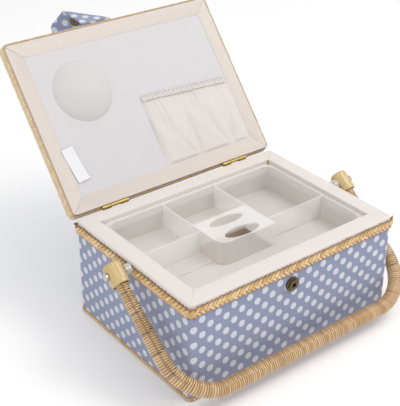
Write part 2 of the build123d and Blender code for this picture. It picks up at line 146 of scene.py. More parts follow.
def cloudy(tree, place, scale, detail=3.0):
    return tree.node("ShaderNodeTexNoise", {}, {"Vector": place, "Scale": scale, "Detail": detail})


def dotMask(u, v, dots):
    # 1 inside the printed dots of a staggered lattice
    nearest = None
    for shift in (0.0, 0.5):
        a = ((u / dots["pitch"] + shift).math("FRACT") - 0.5) * dots["pitch"]
        b = ((v / dots["rise"] + shift).math("FRACT") - 0.5) * dots["rise"]
        far = (a * a + b * b).math("SQRT")
        nearest = far if nearest is None else far.math("MINIMUM", nearest)
    edge = (dots["radius"] - nearest) / dots["soft"] + 0.5
    return edge.math("MAXIMUM", 0.0).math("MINIMUM", 1.0)


def clothMaterial(name, look):
    # woven cloth, drawn from the piece's own flat measure in metres; pitch is one thread's
    made, tree = newMaterial(name)
    uv, u, v = uvAxes(tree)
    pitch = look["pitch"]
    warp = (u * (pi / pitch)).math("SINE")
    weft = (v * (pi / pitch)).math("SINE")
    if look["weave"] == "twill":
        slope = (u + v * look.get("lean", 1.0)) * (pi / (pitch * 2))
        thread = slope.math("SINE")
        height = thread * thread + warp * warp * 0.25
    else:
        height = (warp * weft).math("ABSOLUTE") + warp * warp * 0.3
    blotch = cloudy(tree, uv, look.get("blotch", 35.0))
    colour = look["colour"]
    if "dots" in look:
        frayed = u + (cloudy(tree, uv, 300.0) - 0.5) * look["dots"]["fray"]
        worn = dotMask(frayed, v, look["dots"])
        colour = mixColour(tree, worn, colour, look["dots"]["colour"])
    # the random blotch tone is the cloth's own unevenness; the darkening of the weave's low points by
    # (1 - height) is painted shade
    shade = 1.0 - look.get("uneven", 0.06) * (blotch - 0.5) * 2 - (1.0 - height) * look["grainAndWeaveShade"]
    grey = tree.node("ShaderNodeCombineColor", {}, {0: shade, 1: shade, 2: shade})
    colour = mixColour(tree, 1.0, colour, grey, "MULTIPLY")
    fluff = cloudy(tree, uv, 900.0) * 0.4
    normal = bump(tree, height + fluff, look.get("relief", 0.35), pitch * 0.5)
    return finishMaterial(made, tree, Base_Color=colour, Roughness=look.get("rough", 0.85),
                          Sheen_Weight=look.get("sheen", 0.25), Sheen_Roughness=0.4,
                          Normal=normal)


def strawMaterial(name, look):
    # tone varies from strand to strand; depth is 0 between strands, where the dark colour is mixed in
    # as painted shade
    made, tree = newMaterial(name)
    uv = tree.node("ShaderNodeUVMap", {"uv_map": "UVMap"}, {})
    tone = tree.node("ShaderNodeAttribute", {"attribute_name": "tone"}, {}, 2)
    depth = tree.node("ShaderNodeAttribute", {"attribute_name": "depth"}, {}, 2)
    stretched = tree.node("ShaderNodeMapping", {}, {"Vector": uv, "Scale": look["stretch"]})
    fibres = cloudy(tree, stretched, 1.0, 4.0)
    colour = mixColour(tree, tone, look["mid"], look["light"])
    colour = mixColour(tree, (fibres - 0.35) * 0.9, colour, look["deep"])
    # painted shade: where depth falls to 0 between strands, the colour is darkened toward the dark
    # colour
    gap = 1.0 - depth
    colour = mixColour(tree, gap * look["gapShade"], colour, look["dark"])
    normal = bump(tree, fibres, 0.35, 0.0004)
    return finishMaterial(made, tree, Base_Color=colour, Roughness=fibres * 0.3 + look["rough"],
                          Coat_Weight=look["coat"], Coat_Roughness=0.25, Normal=normal)


def metalMaterial(name, colour, rough, dark=None):
    made, tree = newMaterial(name)
    spots = cloudy(tree, tree.node("ShaderNodeTexCoord", {}, {}, 3), 400.0, 4.0)
    if dark:
        colour = mixColour(tree, (spots - 0.4) * 2.5, colour, dark)
    return finishMaterial(made, tree, Base_Color=colour, Metallic=1.0,
                          Roughness=spots * 0.25 + rough)


dots = {"pitch": 0.022, "rise": 0.020, "radius": 0.00435, "soft": 0.0005, "fray": 0.0006,
        "colour": linear(212, 213, 222)}
dottedCloth = clothMaterial("dottedCloth", {
    "weave": "plain", "pitch": 0.00055, "colour": linear(142, 149, 176), "dots": dots,
    "grainAndWeaveShade": 0.10, "uneven": 0.05, "relief": 0.3, "sheen": 0.2})
creamCanvas = clothMaterial("creamCanvas", {
    "weave": "plain", "pitch": 0.0008, "colour": linear(226, 218, 212),
    "grainAndWeaveShade": 0.07, "uneven": 0.025, "relief": 0.4})
creamTwill = clothMaterial("creamTwill", {
    "weave": "twill", "pitch": 0.0009, "colour": linear(219, 209, 200),
    "grainAndWeaveShade": 0.12, "uneven": 0.03, "relief": 0.55})
paleCotton = clothMaterial("paleCotton", {
    "weave": "plain", "pitch": 0.0005, "colour": linear(207, 204, 206),
    "grainAndWeaveShade": 0.05, "uneven": 0.02, "relief": 0.2})
pocketCotton = clothMaterial("pocketCotton", {
    "weave": "plain", "pitch": 0.0005, "colour": linear(213, 207, 202),
    "grainAndWeaveShade": 0.05, "uneven": 0.02, "relief": 0.2})
cushionCotton = clothMaterial("cushionCotton", {
    "weave": "plain", "pitch": 0.0005, "colour": linear(204, 203, 201),
    "grainAndWeaveShade": 0.06, "uneven": 0.03, "relief": 0.25})
liningCotton = clothMaterial("liningCotton", {
    "weave": "plain", "pitch": 0.0007, "colour": linear(240, 226, 212),
    "grainAndWeaveShade": 0.08, "uneven": 0.04, "relief": 0.3})
satin = clothMaterial("satin", {
    "weave": "twill", "pitch": 0.0003, "colour": linear(218, 219, 222), "lean": 0.3,
    "grainAndWeaveShade": 0.03, "uneven": 0.02, "relief": 0.1, "rough": 0.42, "sheen": 0.1})
# each straw's dark colour is painted shade for the hollows between strands, weighted by its gap shade
# amount
braidStraw = strawMaterial("braidStraw", {
    "mid": linear(208, 166, 108), "light": linear(242, 214, 164), "deep": linear(178, 130, 74),
    "dark": linear(92, 58, 24), "gapShade": 0.85, "rough": 0.32, "coat": 0.25,
    "stretch": (150, 1600, 1)})
bandStraw = strawMaterial("bandStraw", {
    "mid": linear(216, 192, 154), "light": linear(238, 220, 188), "deep": linear(192, 162, 122),
    "dark": linear(164, 132, 94), "gapShade": 0.6, "rough": 0.4, "coat": 0.15,
    "stretch": (150, 1600, 1)})
handleStraw = strawMaterial("handleStraw", {
    "mid": linear(200, 158, 104), "light": linear(236, 202, 150), "deep": linear(172, 124, 72),
    "dark": linear(84, 52, 24), "gapShade": 1.0, "rough": 0.12, "coat": 0.8,
    "stretch": (40, 2400, 1)})
brass = metalMaterial("brass", linear(192, 168, 108), 0.26, linear(136, 108, 58))
bronze = metalMaterial("bronze", linear(122, 108, 82), 0.34, linear(58, 48, 34))
steel = metalMaterial("steel", linear(196, 194, 190), 0.25)


def onObject(tree):
    return tree.node("ShaderNodeTexCoord", {}, {}, 3)


def plasticMaterials():
    made, tree = newMaterial("frostedPlastic")
    haze = cloudy(tree, onObject(tree), 30.0)
    frosted = finishMaterial(made, tree, Base_Color=linear(252, 250, 248),
                             Roughness=haze * 0.1 + 0.3, IOR=1.4, Alpha=0.36, Coat_Weight=0.1)
    made, tree = newMaterial("clearPlastic")
    clear = finishMaterial(made, tree, Base_Color=linear(236, 236, 236), Roughness=0.12,
                           Alpha=0.4, Coat_Weight=0.6, IOR=1.45)
    made, tree = newMaterial("fittingPlastic")
    cloud = cloudy(tree, onObject(tree), 60.0)
    tint = mixColour(tree, cloud, linear(206, 182, 126), linear(186, 160, 104))
    fitting = finishMaterial(made, tree, Base_Color=tint, Roughness=0.3, Coat_Weight=0.35)
    made, tree = newMaterial("hiddenBoard")
    grainAndWeaveShade = cloudy(tree, onObject(tree), 80.0)
    tint = mixColour(tree, grainAndWeaveShade, linear(196, 170, 132), linear(176, 148, 110))
    board = finishMaterial(made, tree, Base_Color=tint, Roughness=0.8)
    return frosted, clear, fitting, board


frostedPlastic, clearPlastic, fittingPlastic, hiddenBoard = plasticMaterials()
print("materials done")


def addPiece(name, bm, material, rides=None, covers=()):
    mesh = bpy.data.meshes.new(name)
    bm.to_mesh(mesh)
    bm.free()
    mesh.polygons.foreach_set("use_smooth", [True] * len(mesh.polygons))
    mesh.materials.append(material)
    piece = bpy.data.objects.new(name, mesh)
    scene.collection.objects.link(piece)
    if rides:
        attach(piece, rides)
    if covers:
        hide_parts(*covers)
    return piece


def gridMesh(across, along, place, measure, flip=False, extra=None):
    # a grid whose corners run from 0 to 1, moved into place; measure gives the flat cloth's size
    bm = bmesh.new()
    bmesh.ops.create_grid(bm, x_segments=across, y_segments=along, size=0.5)
    uv = bm.loops.layers.uv.new("UVMap")
    layers = {key: bm.verts.layers.float.new(key) for key in extra or {}}
    spots = {}
    for vert in bm.verts:
        spots[vert] = (vert.co.x + 0.5, vert.co.y + 0.5)
    for face in bm.faces:
        for loop in face.loops:
            loop[uv].uv = measure(*spots[loop.vert])
    for key, layer in layers.items():
        for vert, (a, b) in spots.items():
            vert[layer] = extra[key](a, b)
    for vert, (a, b) in spots.items():
        vert.co = place(a, b)
    if flip:
        bmesh.ops.reverse_faces(bm, faces=bm.faces)
    return bm


def joinInto(target, other):
    mesh = bpy.data.meshes.new("part")
    other.to_mesh(mesh)
    other.free()
    target.from_mesh(mesh)
    bpy.data.meshes.remove(mesh)


def clamp(x):
    return min(max(x, 0), 1)


def ease(x):
    x = clamp(x)
    return x * x * (3 - 2 * x)


def ridge(x, width):
    # 1 at 0, falling softly to nothing past the width
    return exp(-(x / width) ** 2)


def wobble(x, y, z, seed=0.0):
    return noise.noise(Vector((x, y, z + seed)))


sideTurns = {"front": 0, "right": 90, "back": 180, "left": 270}
cornerShare = 0.06  # of a side's grid, spent on half a corner


def halfSide(side):
    return body["halfW"] if side in ("front", "back") else body["halfD"]


def sidePoint(side, b, inset, radius):
    # a point on one side of a rounded rectangle, b from its first corner's middle to the next
    straight = halfSide(side) - inset - radius
    out = body["halfW"] + body["halfD"] - halfSide(side) - inset
    arc = cornerShare
    if arc <= b <= 1 - arc:
        x = (b - arc) / (1 - 2 * arc) * 2 - 1
        s = straight * (1.5 * x - 0.5 * x ** 3)
        local, normal, gone = Vector((s, -out)), Vector((0, -1)), s
    else:
        sign = -1 if b < 0.5 else 1
        share = 1 - b / arc if b < arc else (b - 1 + arc) / arc
        turn = share * pi / 4
        local = Vector((sign * (straight + radius * sin(turn)), -out + radius * (1 - cos(turn))))
        normal = Vector((sign * sin(turn), -cos(turn)))
        gone = sign * (straight + radius * turn)
    rot = Matrix.Rotation(radians(sideTurns[side]), 2)
    return rot @ local, rot @ normal, gone


sharpest = 0.0004  # smallest corner radius on any cloth
ringOrder = ("left", "front", "right", "back")
# cloth between one side's middle and the next
sideStep = body["halfW"] + body["halfD"] - body["radius"] * (2 - pi / 2)


def ringPoint(a, inset, radius):
    k = min(int(a * 4), 3)
    return sidePoint(ringOrder[k], a * 4 - k, inset, radius)


def ringStart(a):
    return min(int(a * 4), 3) * sideStep


def evenRing(step, inset, radius, parts=2400):
    # evenly spaced points round the box, with their outward directions
    fine = [ringPoint(i / parts, inset, radius)[:2] for i in range(parts + 1)]
    pairs = list(zip(fine, fine[1:]))
    total = sum((q[0] - p[0]).length for p, q in pairs)
    count = int(total / step)
    spots, gone, want = [], 0.0, 0.0
    for p, q in pairs:
        length = (q[0] - p[0]).length
        while want <= gone + length and len(spots) < count:
            spots.append((p[0].lerp(q[0], (want - gone) / length), p[1]))
            want += total / count
        gone += length
    return spots


def profileAt(points, b):
    # a point along an open outline by share of its length, and the length so far
    lengths = [hypot(q[0] - p[0], q[1] - p[1]) for p, q in zip(points, points[1:])]
    want = b * sum(lengths)
    gone = 0.0
    for p, q, length in zip(points, points[1:], lengths):
        if want <= gone + length or q is points[-1]:
            share = clamp((want - gone) / max(length, 1e-9))
            return p[0] + (q[0] - p[0]) * share, p[1] + (q[1] - p[1]) * share, want
        gone += length


def arcPoints(cx, cy, r, start, end, steps=5):
    turns = [radians(start + (end - start) * i / steps) for i in range(steps + 1)]
    return [(cx + r * cos(t), cy + r * sin(t)) for t in turns]


coverLook = {"turnUnder": 0.008, "top": 0.1205, "puff": 0.0004, "ripple": 0.00022,
             "waves": 22, "along": 400, "up": 40, "phase": (0.0071, 0.0079)}


def outerCover():
    look = coverLook
    outline = [(look["turnUnder"], 0.0006)] + arcPoints(0.0022, 0.0026, 0.0022, 270, 180)
    outline += [(0.0, look["top"])]

    def place(a, b):
        inset, z = profileAt(outline, b)[:2]
        radius = max(body["radius"] - inset, 0.001)
        spot, out = ringPoint(a, inset, radius)[:2]
        swell = look["puff"] * sin(pi * clamp(z / look["top"]))
        waves = look["waves"]
        swell += look["ripple"] * wobble(spot.x * waves, spot.y * waves, z * waves) * min(z / 0.01, 1)
        spot = spot + out * swell
        return Vector((spot.x, spot.y, z))

    def measure(a, b):
        along = ringStart(a) + ringPoint(a, 0, body["radius"])[2]
        shiftU, shiftV = look["phase"]
        return along + shiftU, profileAt(outline, b)[2] + shiftV

    bm = gridMesh(look["along"], look["up"], place, measure)
    made = addPiece("printedCover", bm, dottedCloth, "box", ["outer_cover"])


def flatPiece(name, inset, z, radius, material, covers, down=False):
    # a plain sheet that fills a rounded rectangle, drawn as rings closing on its middle
    deep = body["halfD"] - inset - 0.0005

    def spotAt(a, b):
        return ringPoint(a, inset + deep * b, max(radius - deep * b, sharpest))[0]

    def place(a, b):
        spot = spotAt(a, b)
        return Vector((spot.x, spot.y, z + 0.0003 * wobble(spot.x * 30, spot.y * 30, z)))

    def measure(a, b):
        spot = spotAt(a, b)
        return spot.x, spot.y

    bm = gridMesh(160, 24, place, measure, flip=down)
    made = addPiece(name, bm, material, "box", covers)


liningLook = {"inset": 0.0045, "radius": 0.0015, "low": 0.0048, "high": 0.1072, "slack": 0.0003}


def liningWalls():
    look = liningLook

    def place(a, b):
        spot, out = ringPoint(a, look["inset"], look["radius"])[:2]
        spot = spot - out * look["slack"] * (1 + wobble(spot.x * 25, spot.y * 25, b * 3))
        return Vector((spot.x, spot.y, look["low"] + look["high"] * b))

    def measure(a, b):
        return ringStart(a) + ringPoint(a, look["inset"], look["radius"])[2], b * look["high"]

    bm = gridMesh(200, 16, place, measure, flip=True)
    made = addPiece("liningWalls", bm, liningCotton, "box", ["inner_lining"])


outerCover()
flatPiece("baseCover", 0.0045, 0.0004, 0.003, dottedCloth, ["base_cover"],
          down=True)
flatPiece("baseLining", 0.0048, 0.0050, 0.0015, liningCotton, ["base_lining"])
liningWalls()
print("cloth round the box done")


rimLook = {"grooves": (0.0062, 0.0161, 0.0178), "grooveDeep": 0.00022, "grooveWide": 0.0004,
           "pad": 0.0004, "seamDeep": 0.0006, "seamWide": 0.0009, "uneven": 0.00012,
           "along": 130, "across": 90}


def rimSide(side):
    look = rimLook
    top = body["rimTop"]
    outline = [(0.0003, 0.1216), (0.0, 0.1264)] + arcPoints(0.0026, top - 0.0026, 0.0026, 180, 90)
    outline += [(0.0202, top)] + arcPoints(0.0202, top - 0.0008, 0.0008, 90, 0, 3)
    outline += [(0.021, 0.1227), (0.0213, 0.1224), (0.0237, 0.1224), (0.024, 0.1221)]
    outline += [(0.024, 0.112)]
    total = profileAt(outline, 1)[2]

    def place(a, b):
        inset, z = profileAt(outline, b)[:2]
        spot, _, along = sidePoint(side, a, inset, max(body["radius"] - inset, sharpest))
        fromSeam = max(halfSide(side) - inset - abs(along), 0.0)
        flat = 1.0 if z > top - 0.0004 else 0.0
        lift = look["pad"] * sin(pi * clamp((inset - 0.002) / 0.018)) * flat
        for groove in look["grooves"]:
            lift -= look["grooveDeep"] * ridge(inset - groove, look["grooveWide"]) * flat
        lift -= look["seamDeep"] * ridge(fromSeam, look["seamWide"])
        lift += look["uneven"] * wobble(spot.x * 60, spot.y * 60, 1) * flat
        return Vector((spot.x, spot.y, z + lift))

    def measure(a, b):
        return sidePoint(side, a, 0, body["radius"])[2], b * total

    bm = gridMesh(look["along"], look["across"], place, measure)
    made = addPiece("rimCloth_" + side, bm, creamCanvas, "box",
                    ["rim_cloth_" + side])
    long = 2 * halfSide(side)
    0.85 * long * total


for sideName in ringOrder:
    rimSide(sideName)
print("rim done")


def lobeShape():
    # one strand's rounded shape, as points and faces to copy
    bm = bmesh.new()
    bmesh.ops.create_uvsphere(bm, u_segments=8, v_segments=5, radius=1.0)
    bm.verts.index_update()
    shape = [v.co.copy() for v in bm.verts], [[v.index for v in f.verts] for f in bm.faces]
    bm.free()
    return shape


def braidLobes(look, zLow, zHigh, proud, seed, only=None, rows=None):
    # rows of slanted straw strands that overlap like plaited ears
    rng = Random(seed)
    points, faces = lobeShape()
    bm = bmesh.new()
    uv = bm.loops.layers.uv.new("UVMap")
    tone = bm.verts.layers.float.new("tone")
    depth = bm.verts.layers.float.new("depth")
    rows = rows or look["rows"]
    rowHigh = (zHigh - zLow) / rows
    ring = evenRing(look["step"], -proud, body["radius"] + proud)
    for row in range(rows):
        z = zLow + rowHigh * (row + 0.5)
        lean = radians(look["lean"] if row % 2 else -look["lean"])
        for spot, out in ring:
            if only and not only(spot):
                continue
            side = Vector((-out.y, out.x, 0))
            outward = Vector((out.x, out.y, 0))
            middle = Vector((spot.x, spot.y, z + rng.uniform(-0.0002, 0.0002)))
            middle += side * (look["step"] / 2 if row % 2 else 0) - outward * look["thick"] * 0.55
            basis = Matrix((side, Vector((0, 0, 1)), outward)).transposed().to_4x4()
            turn = Matrix.Rotation(lean + rng.uniform(-0.09, 0.09), 4, "Z")
            tilt = Matrix.Rotation(radians(9), 4, "Y")
            size = Matrix.Diagonal((look["length"] / 2 * rng.uniform(0.92, 1.1), look["wide"] / 2,
                                    look["thick"] / 2, 1))
            shape = Matrix.Translation(middle) @ basis @ turn @ tilt @ size
            shade = rng.random()
            along = side * cos(lean) + Vector((0, 0, sin(lean)))
            cross = side * -sin(lean) + Vector((0, 0, cos(lean)))
            verts = [bm.verts.new(shape @ point) for point in points]
            for vert in verts:
                vert[tone] = shade
                # depth is 1 on the lobe's outer face and 0 on its inner side, which the straw
                # material turns into painted shade where strands tuck under
                vert[depth] = clamp(outward.dot(vert.co - middle) / (look["thick"] * 0.42))
            for corners in faces:
                face = bm.faces.new([verts[i] for i in corners])
                for loop in face.loops:
                    offset = loop.vert.co - middle
                    loop[uv].uv = (offset.dot(along) + shade, offset.dot(cross) + shade * 3)
    return bm


def backing(zLow, zHigh, proud, notBelow=None):
    # the strip behind the strands, darkened as painted shade through its fixed depth of 0.55
    outline = [(0.0002, zLow), (-proud, zLow), (-proud, zHigh), (0.0002, zHigh)]

    def place(a, b):
        inset, z = profileAt(outline, b)[:2]
        spot = ringPoint(a, inset, body["radius"] - inset)[0]
        if notBelow and spot.y > body["halfD"] - 0.001:
            z = max(z, notBelow)
        return Vector((spot.x, spot.y, z))

    def measure(a, b):
        return ringStart(a) + ringPoint(a, 0, body["radius"])[2], b * 0.02

    # painted shade: depth 0.55 darkens the whole strip toward the straw's dark colour
    return gridMesh(200, 6, place, measure,
                    extra={"tone": lambda a, b: 0.0, "depth": lambda a, b: 0.55})


topBraidLook = {"step": 0.0062, "length": 0.0130, "wide": 0.0045, "thick": 0.0034, "rows": 2,
                "lean": 36}
trimLook = {"step": 0.0040, "length": 0.0058, "wide": 0.0024, "thick": 0.0018, "rows": 1,
            "lean": 30}
bandLook = {"step": 0.0032, "length": 0.0056, "wide": 0.0034, "thick": 0.0026, "rows": 4,
            "lean": 62}


def topBraid():
    bm = braidLobes(topBraidLook, 0.1130, 0.1240, 0.0034, 3)
    joinInto(bm, backing(0.1125, 0.1238, 0.0018))
    addPiece("topBraid", bm, braidStraw, "box", ["top_braid"])


def bottomTrim():
    bm = braidLobes(trimLook, 0.0006, 0.0040, 0.0014, 5)
    joinInto(bm, backing(0.0006, 0.0048, 0.0008))
    addPiece("bottomTrim", bm, braidStraw, "box", ["bottom_trim"])


def lidBand():
    behind = body["halfD"] - 0.001
    bm = braidLobes(bandLook, 0.1315, 0.1435, 0.0028, 7, lambda spot: spot.y < behind)
    joinInto(bm, braidLobes(bandLook, 0.1345, 0.1435, 0.0028, 8, lambda spot: spot.y >= behind, 3))
    joinInto(bm, backing(0.1312, 0.1436, 0.0016, notBelow=0.1344))
    bmesh.ops.transform(bm, matrix=lidOpen, verts=bm.verts)
    addPiece("lidBand", bm, bandStraw, "lid", ["lid_edge_band"])


topBraid()
bottomTrim()
lidBand()
print("straw braids done")


lidLook = {"top": 0.1452, "puff": 0.0026, "puffReach": 0.016, "edge": 0.0045, "low": 0.1316,
           "uneven": 0.0003, "phase": 0.006}


def lidCover():
    look = lidLook
    deep = body["halfD"] - 0.0005
    r = look["edge"]
    outline = [(0.0003, look["low"])] + arcPoints(r, look["top"] - r, r, 180, 90, 8)
    outline += [(deep * (0.1 + 0.9 * i / 24), look["top"]) for i in range(25)]

    def place(a, b):
        inset, z = profileAt(outline, b)[:2]
        spot = ringPoint(a, inset, max(body["radius"] - inset, sharpest))[0]
        swell = max(inset - r * 0.4, 0)
        z += look["puff"] * (1 - exp(-swell / look["puffReach"]))
        z += look["uneven"] * wobble(spot.x * 26, spot.y * 26, 4) * min(inset / 0.01, 1)
        return lidOpen @ Vector((spot.x, spot.y, z))

    def measure(a, b):
        inset, z = profileAt(outline, b)[:2]
        spot, out = ringPoint(a, inset, max(body["radius"] - inset, sharpest))[:2]
        spot = spot + out * max(look["top"] - z, 0)
        return spot.x + look["phase"], spot.y

    bm = gridMesh(320, 64, place, measure)
    made = addPiece("lidCover", bm, dottedCloth, "lid", ["lid_cover"])


borderLook = {"wide": 0.0200, "face": 0.13035, "seamDeep": 0.0005, "seamWide": 0.001,
              "overlap": 0.0004, "hem": 0.0003, "hemFrom": 0.0028, "uneven": 0.00025,
              "along": 110, "across": 44}


def lidBorder(side):
    look = borderLook
    face = look["face"]
    wide = look["wide"]
    outline = [(0.0006, face + 0.0012), (0.0004, face + 0.0006), (0.0009, face + 0.0001)]
    outline += [(0.0016, face), (wide - 0.0008, face), (wide - 0.0002, face + 0.0002)]
    outline += [(wide, face + 0.0008)]
    total = profileAt(outline, 1)[2]
    over = look["overlap"] if side in ("front", "back") else 0.0

    def place(a, b):
        inset, z = profileAt(outline, b)[:2]
        spot, _, along = sidePoint(side, a, inset, max(body["radius"] - inset, sharpest))
        fromSeam = max(halfSide(side) - inset - abs(along), 0.0)
        seam = ridge(fromSeam, look["seamWide"])
        z += look["seamDeep"] * seam
        z -= over * ridge(fromSeam, 0.012) * (1 - seam)
        z += look["hem"] * ridge(inset - wide + look["hemFrom"], 0.0004)
        z -= look["uneven"] * (0.5 + wobble(along * 45, inset * 160, 7)) * sin(pi * inset / wide)
        return lidOpen @ Vector((spot.x, spot.y, z))

    def measure(a, b):
        return sidePoint(side, a, 0, body["radius"])[2], b * total

    bm = gridMesh(look["along"], look["across"], place, measure, flip=True)
    made = addPiece("lidBorder_" + side, bm, creamTwill, "lid",
                    ["lid_border_" + side])
    long = 2 * halfSide(side) - 0.001
    0.92 * long * total


panelLook = {"inset": 0.0185, "z": 0.1309, "uneven": 0.0005}
panelFace = 0.1308  # what is sewn on the panel stands on this height


def lidPanel():
    look = panelLook
    halfW, halfD = body["halfW"] - look["inset"], body["halfD"] - look["inset"]
    wide, deep = 2 * halfW, 2 * halfD

    def place(a, b):
        x, y = (2 * a - 1) * halfW, (2 * b - 1) * halfD
        return lidOpen @ Vector((x, y, look["z"] - look["uneven"] * wobble(x * 12, y * 12, 2)))

    bm = gridMesh(120, 90, place, lambda a, b: (a * wide, b * deep), flip=True)
    made = addPiece("lidPanel", bm, paleCotton, "lid", ["lid_inner_panel"])


cushionLook = {"x": -0.0755, "fromHinge": 0.1455, "radius": 0.040, "high": 0.0141, "puff": 0.0004,
               "gathers": 46, "gatherDeep": 0.00035, "edgeFrom": 0.72, "uneven": 0.0002}


def cushion():
    look = cushionLook
    centre = Vector((look["x"], hinge["y"] - look["fromHinge"], panelLook["z"]))
    ball = (look["radius"] ** 2 + look["high"] ** 2) / (2 * look["high"])

    def place(a, b):
        turn = 2 * pi * a
        x, y = cos(turn), sin(turn)
        far = look["radius"] * b
        drop = (ball ** 2 - far ** 2) ** 0.5 - (ball - look["high"])
        edge = max(b - look["edgeFrom"], 0) / (1 - look["edgeFrom"])
        ripple = sin(look["gathers"] * turn + 3 * wobble(x * 3, y * 3, 1))
        drop += look["gatherDeep"] * ripple * edge * (1.15 - edge)
        drop += look["puff"] * sin(pi * min(edge, 1))
        drop += look["uneven"] * wobble(far * 60 * x, far * 60 * y, 5)
        return lidOpen @ (centre + Vector((far * x, far * y, -drop if b < 1 else 0.0004)))

    def measure(a, b):
        far = look["radius"] * b
        return far * cos(2 * pi * a), far * sin(2 * pi * a)

    bm = gridMesh(220, 48, place, measure)
    bmesh.ops.recalc_face_normals(bm, faces=bm.faces)
    made = addPiece("pincushion", bm, cushionCotton, "lid", ["pincushion"])


pocketLook = {"left": -0.003, "right": 0.131, "low": 0.0232, "topLeft": 0.1165, "topRight": 0.110,
              "seams": (0.049, 0.1015), "swell": 0.0034, "fold": 0.0028}


def pocketTop(x):
    look = pocketLook
    share = (x - look["left"]) / (look["right"] - look["left"])
    return look["topLeft"] + (look["topRight"] - look["topLeft"]) * share


def pocketHeight(x, b):
    # height of the gathered cloth above the panel; b runs from the lower seam to the hem
    look = pocketLook
    marks = [look["left"], *look["seams"], look["right"]]
    near = min(abs(x - m) for m in marks)
    sewn = 1 - ridge(near, 0.006) * (1 - b * 0.75)
    high = look["swell"] * (0.35 + 0.65 * sin(pi * min(b * 0.9 + 0.08, 1))) * sewn
    folds = 0.8 * wobble(x * 75, b * 0.8, 3) + 0.35 * wobble(x * 260 + b * 2, b * 2.0, 9) * b
    for mark in look["seams"]:
        lean = (x - mark) / (b * 0.075 + 0.006)
        pull = sin(lean * 7.5 + mark * 90) * ridge(lean, 0.75)
        folds += 1.1 * pull * ease(b / 0.12) * (1 - 0.45 * b)
    high += look["fold"] * folds * (0.4 + 0.6 * b)
    atLow = min(b / 0.03 + 0.15, 1)
    atLeft = min((x - look["left"]) / 0.003 + 0.1, 1)
    atRight = min((look["right"] - x) / 0.003 + 0.1, 1)
    return max(high, 0.0003) * atLow * atLeft * atRight


def pocket():
    look = pocketLook
    wide = look["right"] - look["left"]

    def place(a, b):
        x = look["left"] + wide * a
        reach = look["low"] + (pocketTop(x) - 0.006 - look["low"]) * b
        return lidOpen @ Vector((x, hinge["y"] - reach, panelFace - pocketHeight(x, b)))

    bm = gridMesh(260, 150, place, lambda a, b: (a * wide * 1.2, b * 0.092))
    made = addPiece("pocketCloth", bm, pocketCotton, "lid", ["pocket"])


hemLook = {"wide": 0.0075, "ruffles": 24, "deep": 0.0013, "scallop": 0.0013, "stitch": 0.0006}


def pocketHem():
    # the ruched tube that holds the elastic
    look = hemLook
    span = pocketLook["right"] - pocketLook["left"]

    def place(a, b):
        x = pocketLook["left"] + span * a
        end = min(a / 0.02 + 0.2, 1) * min((1 - a) / 0.02 + 0.2, 1)
        phase = look["ruffles"] * 2 * pi * (a + 0.004 * wobble(a * 30, 0, 0))
        ruffle = look["deep"] * sin(phase + 0.9 * sin(b * 5))
        ruffle *= 0.65 + 0.35 * wobble(a * 60, b * 2, 6)
        rise = pocketTop(x) - 0.0065 + look["wide"] * b + look["scallop"] * sin(phase) * b * b
        joined = pocketHeight(x, 1.0) * (1 - b)
        high = joined + (0.0010 + 0.0014 * sin(pi * (b * 0.86 + 0.1)) + ruffle) * end
        stitched = look["stitch"] * ridge(b - 0.72, 0.05)
        return lidOpen @ Vector((x, hinge["y"] - rise, panelFace - max(high - stitched, 0.0001)))

    bm = gridMesh(640, 18, place, lambda a, b: (a * 0.19, b * 0.008))
    made = addPiece("pocketHem", bm, pocketCotton, "lid", ["pocket_elastic"])


labelLook = {"x": -0.1243, "fromHinge": 0.0605, "z": 0.1305, "wide": 0.0172, "long": 0.045,
             "lean": -8}


def blankLabel():
    look = labelLook
    lean = Matrix.Rotation(radians(look["lean"]), 2)

    def place(a, b):
        spot = lean @ Vector(((a - 0.5) * look["wide"], (b - 0.5) * look["long"]))
        lift = 0.0004 + 0.0007 * (abs(b - 0.5) * 2) ** 3 + 0.0003 * sin(3 * b)
        y = hinge["y"] - look["fromHinge"] + spot.y
        return lidOpen @ Vector((look["x"] + spot.x, y, look["z"] - lift))

    bm = gridMesh(14, 34, place, lambda a, b: (a * look["wide"], b * look["long"]), flip=True)
    bmesh.ops.solidify(bm, geom=bm.faces, thickness=0.0003)
    made = addPiece("blankLabel", bm, satin, "lid", ["blank_label"])


lidCover()
for sideName in ringOrder:
    lidBorder(sideName)
lidPanel()
cushion()
pocket()
pocketHem()
blankLabel()
print("lid done")


tabLook = {"x": -0.0085, "y": -0.1184, "z": 0.1449, "half": 0.020, "long": 0.086,
           "shoulder": 0.034, "tip": 0.015, "crease": 0.028, "tilt": -50, "fold": -135,
           "curl": -88, "thick": 0.0018, "phase": 0.0055}


def tabOutline(l):
    # half the tab's width at this distance from its root
    look = tabLook
    tip = look["tip"]
    left = look["long"] - l
    if left > tip:
        return tip + (look["half"] - tip) * min((left - tip) / (look["shoulder"] - tip), 1)
    return tip * max(1 - (1 - left / tip) ** 2, 0.0) ** 0.5


def tabCrease(w):
    return tabLook["crease"] + w * tan(radians(tabLook["tilt"]))


def tabPlace(w, l, lift=0.0):
    # from the hanging flat tab to the folded one on the open lid
    look = tabLook
    spot = Vector((look["x"] + w, look["y"] + lift, look["z"] - l))
    slant = radians(look["tilt"])
    past = (l - tabCrease(w)) * cos(slant)
    curl = look["curl"] * ease((past + 0.003) / 0.006)
    axis = (cos(slant), 0, -sin(slant))
    spot = turnAbout((look["x"], look["y"], look["z"] - look["crease"]), axis, curl) @ spot
    fold = look["fold"] * ease((l + 0.0015) / 0.003)
    spot = turnAbout((0, look["y"], look["z"]), (1, 0, 0), fold) @ spot
    return lidOpen @ spot


def tabSeam(w):
    return max(tabCrease(w) * 0.45, 0.0019)


